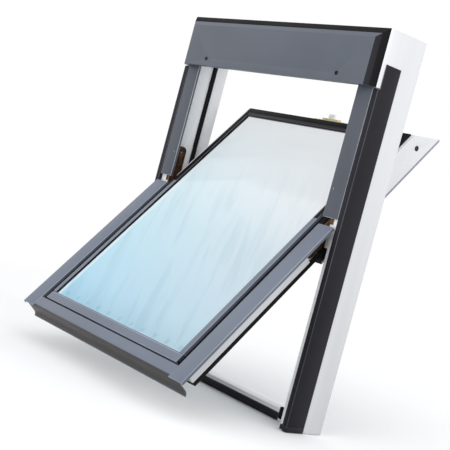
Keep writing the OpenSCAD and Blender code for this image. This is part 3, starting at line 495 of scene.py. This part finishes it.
def softEdged(node, width):
    shape = bmesh.new()
    shape.from_mesh(frame["nodes"][node].data)
    bmesh.ops.remove_doubles(shape, verts=shape.verts, dist=edgeCut["weld"])
    bmesh.ops.dissolve_limit(shape, angle_limit=math.radians(edgeCut["flatDeg"]), verts=shape.verts,
                             edges=shape.edges)
    sharpFrom = math.radians(edgeCut["sharpDeg"])
    sharp = [edge for edge in shape.edges
             if len(edge.link_faces) == 2 and abs(edge.calc_face_angle(0)) > sharpFrom]
    rounded = roundEdges(shape, sharp, width)
    layer = shape.loops.layers.float.new("edge")  # read by the coats, which paint a highlight there
    for face in rounded["faces"]:
        for loop in face.loops:
            loop[layer] = 1.0
    others = otherFaces.get(node, [])
    for face in shape.faces:
        face.smooth = True
        height = face.calc_center_median().z
        for number, other in enumerate(others):
            if face.normal.dot(other["way"]) > other["close"] and height > other["above"]:
                face.material_index = number + 1
    bmesh.ops.triangulate(shape, faces=[face for face in shape.faces if len(face.verts) > 4])
    finishNames = [finishOf[node]] + [other["finish"] for other in others]
    linkPiece(node + "_soft", meshOf(shape, node + "_soft", finishNames), bodyOf[node], node)


for node, width in softEdges.items():
    softEdged(node, width)
print("edges rounded:", len(softEdges))


# screw heads with a cross recess, one tree for every place
screwHead = {"segments": 24, "rings": 12, "creaseDeg": 35}
screwSizes = {"Head radius": "radius", "Head height": "height", "Recess": "recess"}


def screwTree():
    tree = bpy.data.node_groups.new("crossScrews", "GeometryNodeTree")
    tree.interface.new_socket(name="Geometry", in_out="INPUT", socket_type="NodeSocketGeometry")
    for label in screwSizes:
        tree.interface.new_socket(name=label, in_out="INPUT", socket_type="NodeSocketFloat")
    tree.interface.new_socket(name="Finish", in_out="INPUT", socket_type="NodeSocketMaterial")
    tree.interface.new_socket(name="Geometry", in_out="OUTPUT", socket_type="NodeSocketGeometry")
    given = tree.nodes.new("NodeGroupInput").outputs
    out = tree.nodes.new("NodeGroupOutput").inputs
    radius, height, recess = (given[label] for label in screwSizes)
    dome = addNode(tree, "GeometryNodeMeshUVSphere")
    dome.inputs["Segments"].default_value = screwHead["segments"]
    dome.inputs["Rings"].default_value = screwHead["rings"]
    feed(tree, radius, dome.inputs["Radius"])
    flattened = addNode(tree, "GeometryNodeTransform")
    feed(tree, dome.outputs["Mesh"], flattened.inputs["Geometry"])
    feed(tree, joinVector(tree, 1, 1, combine(tree, "DIVIDE", height, radius)), flattened.inputs["Scale"])
    recessed = addNode(tree, "GeometryNodeMeshBoolean", operation="DIFFERENCE")
    feed(tree, flattened.outputs[0], recessed.inputs["Mesh 1"])
    for length, width in ((radius, recess), (recess, radius)):
        blade = addNode(tree, "GeometryNodeMeshCube")
        feed(tree, joinVector(tree, length, width, height), blade.inputs["Size"])
        lifted = addNode(tree, "GeometryNodeTransform")
        feed(tree, blade.outputs["Mesh"], lifted.inputs["Geometry"])
        feed(tree, joinVector(tree, 0, 0, height), lifted.inputs["Translation"])
        feed(tree, lifted.outputs[0], recessed.inputs["Mesh 2"])
    aim = addNode(tree, "GeometryNodeInputNamedAttribute", data_type="FLOAT_VECTOR")
    aim.inputs["Name"].default_value = "aim"
    turned = addNode(tree, "FunctionNodeAlignRotationToVector", axis="Z")
    feed(tree, aim.outputs["Attribute"], turned.inputs["Vector"])
    heads = addNode(tree, "GeometryNodeInstanceOnPoints")
    feed(tree, given["Geometry"], heads.inputs["Points"])
    feed(tree, recessed.outputs["Mesh"], heads.inputs["Instance"])
    feed(tree, turned.outputs["Rotation"], heads.inputs["Rotation"])
    whole = addNode(tree, "GeometryNodeRealizeInstances")
    feed(tree, heads.outputs["Instances"], whole.inputs["Geometry"])
    painted = addNode(tree, "GeometryNodeSetMaterial")
    feed(tree, whole.outputs["Geometry"], painted.inputs["Geometry"])
    feed(tree, given["Finish"], painted.inputs["Material"])
    feed(tree, painted.outputs["Geometry"], out[0])
    return tree


crossScrews = screwTree()


def socketId(tree, label):
    return next(item.identifier for item in tree.interface.items_tree
                if item.name == label and item.in_out == "INPUT")


# each row is the same on the left and the right: x, and the seats' depth and height from the axis in mm
screwRows = {
    "hoodScrewHeads": {
        "radius": 0.0055, "height": 0.0026, "recess": 0.0012, "finish": "anthracite", "x": 264,
        "seats": [(-28, 352.5)], "aim": (0, -1, 0), "body": "frame", "nodes": ["hood_screws"]},
    "coverScrewHeads": {
        "radius": 0.0032, "height": 0.0012, "recess": 0.0008, "finish": "paleZinc", "x": 333,
        "seats": [(-2, 81.5)], "aim": (0, -1, 0), "body": "frame", "nodes": []},
    "frameHingeHeads": {
        "radius": 0.0042, "height": 0.0022, "recess": 0.001, "finish": "platedSteel", "x": 340,
        "seats": [(27, 48), (27, 85)], "aim": (-1, 0, 0), "body": "frame", "nodes": ["frame_hinge_screws"]},
    "strikerHeads": {
        "radius": 0.0038, "height": 0.0018, "recess": 0.0009, "finish": "platedSteel", "x": 22,
        "seats": [(36, 426)], "aim": (0, 0, -1), "body": "frame", "nodes": []},
    "sashHingeHeads": {
        "radius": 0.0042, "height": 0.0022, "recess": 0.001, "finish": "platedSteel", "x": 336,
        "seats": [(27, -48), (27, -76)], "aim": (1, 0, 0), "body": "sash", "nodes": ["sash_hinge_screws"]},
    "latchScrewHeads": {
        "radius": 0.004, "height": 0.002, "recess": 0.0009, "finish": "platedSteel", "x": 49,
        "seats": [(26.78, 368.02)], "aim": (sashUp - sashBack).normalized(), "body": "sash", "nodes": []},
    "barScrewHeads": {
        "radius": 0.0036, "height": 0.0018, "recess": 0.0009, "finish": "platedSteel", "x": 243,
        "seats": [(91, 391), (91, 409)], "aim": sashBack, "body": "sash", "nodes": []},
}


def placeScrews(name, row):
    places = [(side, seat) for seat in row["seats"] for side in (-1, 1)]
    seats = bpy.data.meshes.new(name + "Seats")
    seats.from_pydata([pointOn[row["body"]](side * row["x"], *seat) for side, seat in places], [], [])
    aims = seats.attributes.new("aim", "FLOAT_VECTOR", "POINT")
    outward, y, z = row["aim"]
    for number, (side, _) in enumerate(places):
        aims.data[number].vector = (side * outward, y, z)
    maker = bpy.data.objects.new(name + "Seats", seats)
    scene.collection.objects.link(maker)
    modifier = maker.modifiers.new("screws", "NODES")
    modifier.node_group = crossScrews
    for label, key in screwSizes.items():
        modifier[socketId(crossScrews, label)] = row[key]
    modifier[socketId(crossScrews, "Finish")] = finish[row["finish"]]
    evaluated = maker.evaluated_get(bpy.context.evaluated_depsgraph_get())
    mesh = bpy.data.meshes.new_from_object(evaluated)
    maker.modifiers.clear()
    bpy.data.objects.remove(maker)
    mesh.name = name
    for polygon in mesh.polygons:
        polygon.use_smooth = True
    mesh.set_sharp_from_angle(angle=math.radians(screwHead["creaseDeg"]))
    linkPiece(name, mesh, row["body"], *row["nodes"])


for name, row in screwRows.items():
    placeScrews(name, row)
print("screw heads placed")


# ring round the barrel bolt's mouth in the right stile, in mm
boltRing = {"inner": 4.15, "outer": 7.0, "proud": 0.9, "sunk": 3, "lip": 0.3, "crown": 0.7, "shoulder": 0.2,
            "shoulderRise": 0.54, "x": 333, "depth": 44, "height": 336, "steps": 40, "finish": "darkPlastic"}


def makeBoltRing(ring):
    inner, outer, proud = ring["inner"], ring["outer"], ring["proud"]
    profile = [(inner, -ring["sunk"]), (inner, proud - ring["lip"]), (inner + ring["lip"], proud),
               (outer - ring["crown"], proud), (outer - ring["shoulder"], ring["shoulderRise"]),
               (outer, 0), (outer, -ring["sunk"])]
    shape = bmesh.new()
    turns = []
    for step in range(ring["steps"]):
        angle = 2 * math.pi * step / ring["steps"]
        turns.append([shape.verts.new(sashPoint(ring["x"] + out, ring["depth"] + radius * math.cos(angle),
                                                ring["height"] + radius * math.sin(angle)))
                      for radius, out in profile])
    for step, first in enumerate(turns):
        second = turns[(step + 1) % len(turns)]
        for number in range(len(profile)):
            following = (number + 1) % len(profile)
            face = shape.faces.new((first[number], second[number], second[following], first[following]))
            face.smooth = True
    bmesh.ops.recalc_face_normals(shape, faces=shape.faces)
    linkPiece("boltRing", meshOf(shape, "boltRing", [ring["finish"]]), "sash")


makeBoltRing(boltRing)
print("bolt ring made")


# thin trim: x, depth and height from the axis in mm, as on the closed window
bothSides = (-1, 1)
trimStrips = {
    "sealTails": {"x": (336, 343), "depth": (63.5, 76.5), "height": (44, 107), "round": 2.0,
                  "body": "frame", "sides": bothSides, "finish": "blackRubber"},
    # black pads on the stiles' sides beside the hinges: partly the gasket there, partly painted shade of the
    # dark gap
    "stileGasketShadePads": {"x": (332.5, 335), "depth": (44, 75.5), "height": (-60.5, -2), "round": 0.6,
                     "body": "sash", "sides": bothSides, "finish": "blackRubber"},
    "stilePlates": {"x": (322.5, 335.5), "depth": (9.2, 10.4), "height": (-20, 30), "round": 0.3,
                    "body": "sash", "sides": bothSides, "finish": "bronzeSteel"},
    "hingeFlaps": {"x": (343.4, 353), "depth": (7.2, 8.2), "height": (-3, 14), "round": 0.3,
                   "body": "frame", "sides": bothSides, "finish": "bronzeSteel"},
    "upperBeadStrips": {"x": (295, 302.6), "depth": (-1.9, -1.4), "height": (2, 320), "round": 0.2,
                        "body": "sash", "sides": bothSides, "finish": "blackRubber"},
    "upperBeadFaces": {"x": (290, 295.2), "depth": (-1.8, -1.4), "height": (2, 306), "round": 0.15,
                       "body": "sash", "sides": bothSides, "finish": "anthracite"},
    "topBeadStrip": {"x": (-302.6, 302.6), "depth": (-1.9, -1.4), "height": (319.5, 334.6), "round": 0.2,
                     "body": "sash", "sides": (1,), "finish": "blackRubber"},
}
stripFaces = ((0, 1, 3, 2), (4, 6, 7, 5), (0, 4, 5, 1), (2, 3, 7, 6), (0, 2, 6, 4), (1, 5, 7, 3))


def makeStrip(name, strip):
    shape = bmesh.new()
    for side in strip["sides"]:
        corners = [shape.verts.new(pointOn[strip["body"]](side * x, depth, height))
                   for x in strip["x"] for depth in strip["depth"] for height in strip["height"]]
        for ring in stripFaces:
            shape.faces.new([corners[number] for number in ring])
    bmesh.ops.recalc_face_normals(shape, faces=shape.faces)
    roundEdges(shape, shape.edges, strip["round"])
    for face in shape.faces:
        face.smooth = True
    linkPiece(name, meshOf(shape, name, [strip["finish"]]), strip["body"])


for name, strip in trimStrips.items():
    makeStrip(name, strip)
print("side strips made")


# pale floor that fades out, white behind it, soft lamps
studio = {"floorZ": -0.001, "floorHalf": 3.0, "fade": (0.9, 1.9), "floorSeen": 0.97, "floorBounce": 0.3,
          "floorRough": 0.9, "floorGloss": 0.1, "ambient": 0.82, "ambientColor": (0.96, 0.98, 1.0),
          "backdrop": 1, "backdropColor": (1.0, 1.0, 1.0), "aim": (0, -0.05, 0.5)}
lamps = {
    "skyLamp": {"place": (0.3, -1.4, 3.2), "size": 3.6, "power": 12},
    "sideLamp": {"place": (3.4, 0.9, 1.6), "size": 2.2, "power": 25},
    "frontLamp": {"place": (0.6, -2.7, 0.7), "size": 2.6, "power": 42},
    "roomLamp": {"place": (-0.6, 3.0, 1.8), "size": 2.6, "power": 20},
}


def seenDirectly(tree):
    # 1 on the rays that show a surface or the sky as it is, 0 on the rays that only carry light
    path = addNode(tree, "ShaderNodeLightPath")
    seen = path.outputs["Is Camera Ray"]
    for label in ("Is Glossy Ray", "Is Transmission Ray"):
        seen = combine(tree, "MAXIMUM", seen, path.outputs[label])
    return seen


def layFloor():
    half, z = studio["floorHalf"], studio["floorZ"]
    mesh = bpy.data.meshes.new("floor")
    mesh.from_pydata([(-half, -half, z), (half, -half, z), (half, half, z), (-half, half, z)], [],
                     [(0, 1, 2, 3)])
    floor = bpy.data.objects.new("floor", mesh)
    scene.collection.objects.link(floor)
    material, tree, shader = newFinish("floorPaper")
    paper = mixColor(tree, seenDirectly(tree), (studio["floorBounce"],) * 3, (studio["floorSeen"],) * 3)
    feed(tree, paper, shader.inputs["Base Color"])
    setShader(shader, {"Roughness": studio["floorRough"], "Specular IOR Level": studio["floorGloss"]})
    away = addNode(tree, "ShaderNodeVectorMath", operation="LENGTH")
    feed(tree, objectPlace(tree), away.inputs[0])
    clear = addNode(tree, "ShaderNodeBsdfTransparent")
    faded = mixShaders(tree, remap(tree, away.outputs["Value"], *studio["fade"], 0, 1), shader.outputs[0],
                       clear.outputs[0])
    feed(tree, faded, tree.nodes["Material Output"].inputs["Surface"])
    mesh.materials.append(material)


def lightRoom():
    world = bpy.data.worlds.new("studio")
    scene.world = world
    world.use_nodes = True
    tree = world.node_tree
    soft = tree.nodes["Background"]
    feed(tree, studio["ambientColor"], soft.inputs["Color"])
    feed(tree, studio["ambient"], soft.inputs["Strength"])
    white = addNode(tree, "ShaderNodeBackground")
    feed(tree, studio["backdropColor"], white.inputs["Color"])
    feed(tree, studio["backdrop"], white.inputs["Strength"])
    chosen = mixShaders(tree, seenDirectly(tree), soft.outputs[0], white.outputs[0])
    feed(tree, chosen, tree.nodes["World Output"].inputs["Surface"])


def hangLamp(name, lamp):
    data = bpy.data.lights.new(name, "AREA")
    data.shape = "DISK"
    data.size = lamp["size"]
    data.energy = lamp["power"]
    lampObject = bpy.data.objects.new(name, data)
    lampObject.location = lamp["place"]
    toPart = Vector(studio["aim"]) - Vector(lamp["place"])
    lampObject.rotation_euler = toPart.to_track_quat("-Z", "Y").to_euler()
    scene.collection.objects.link(lampObject)


layFloor()
lightRoom()
for name, lamp in lamps.items():
    hangLamp(name, lamp)
print("studio lit")
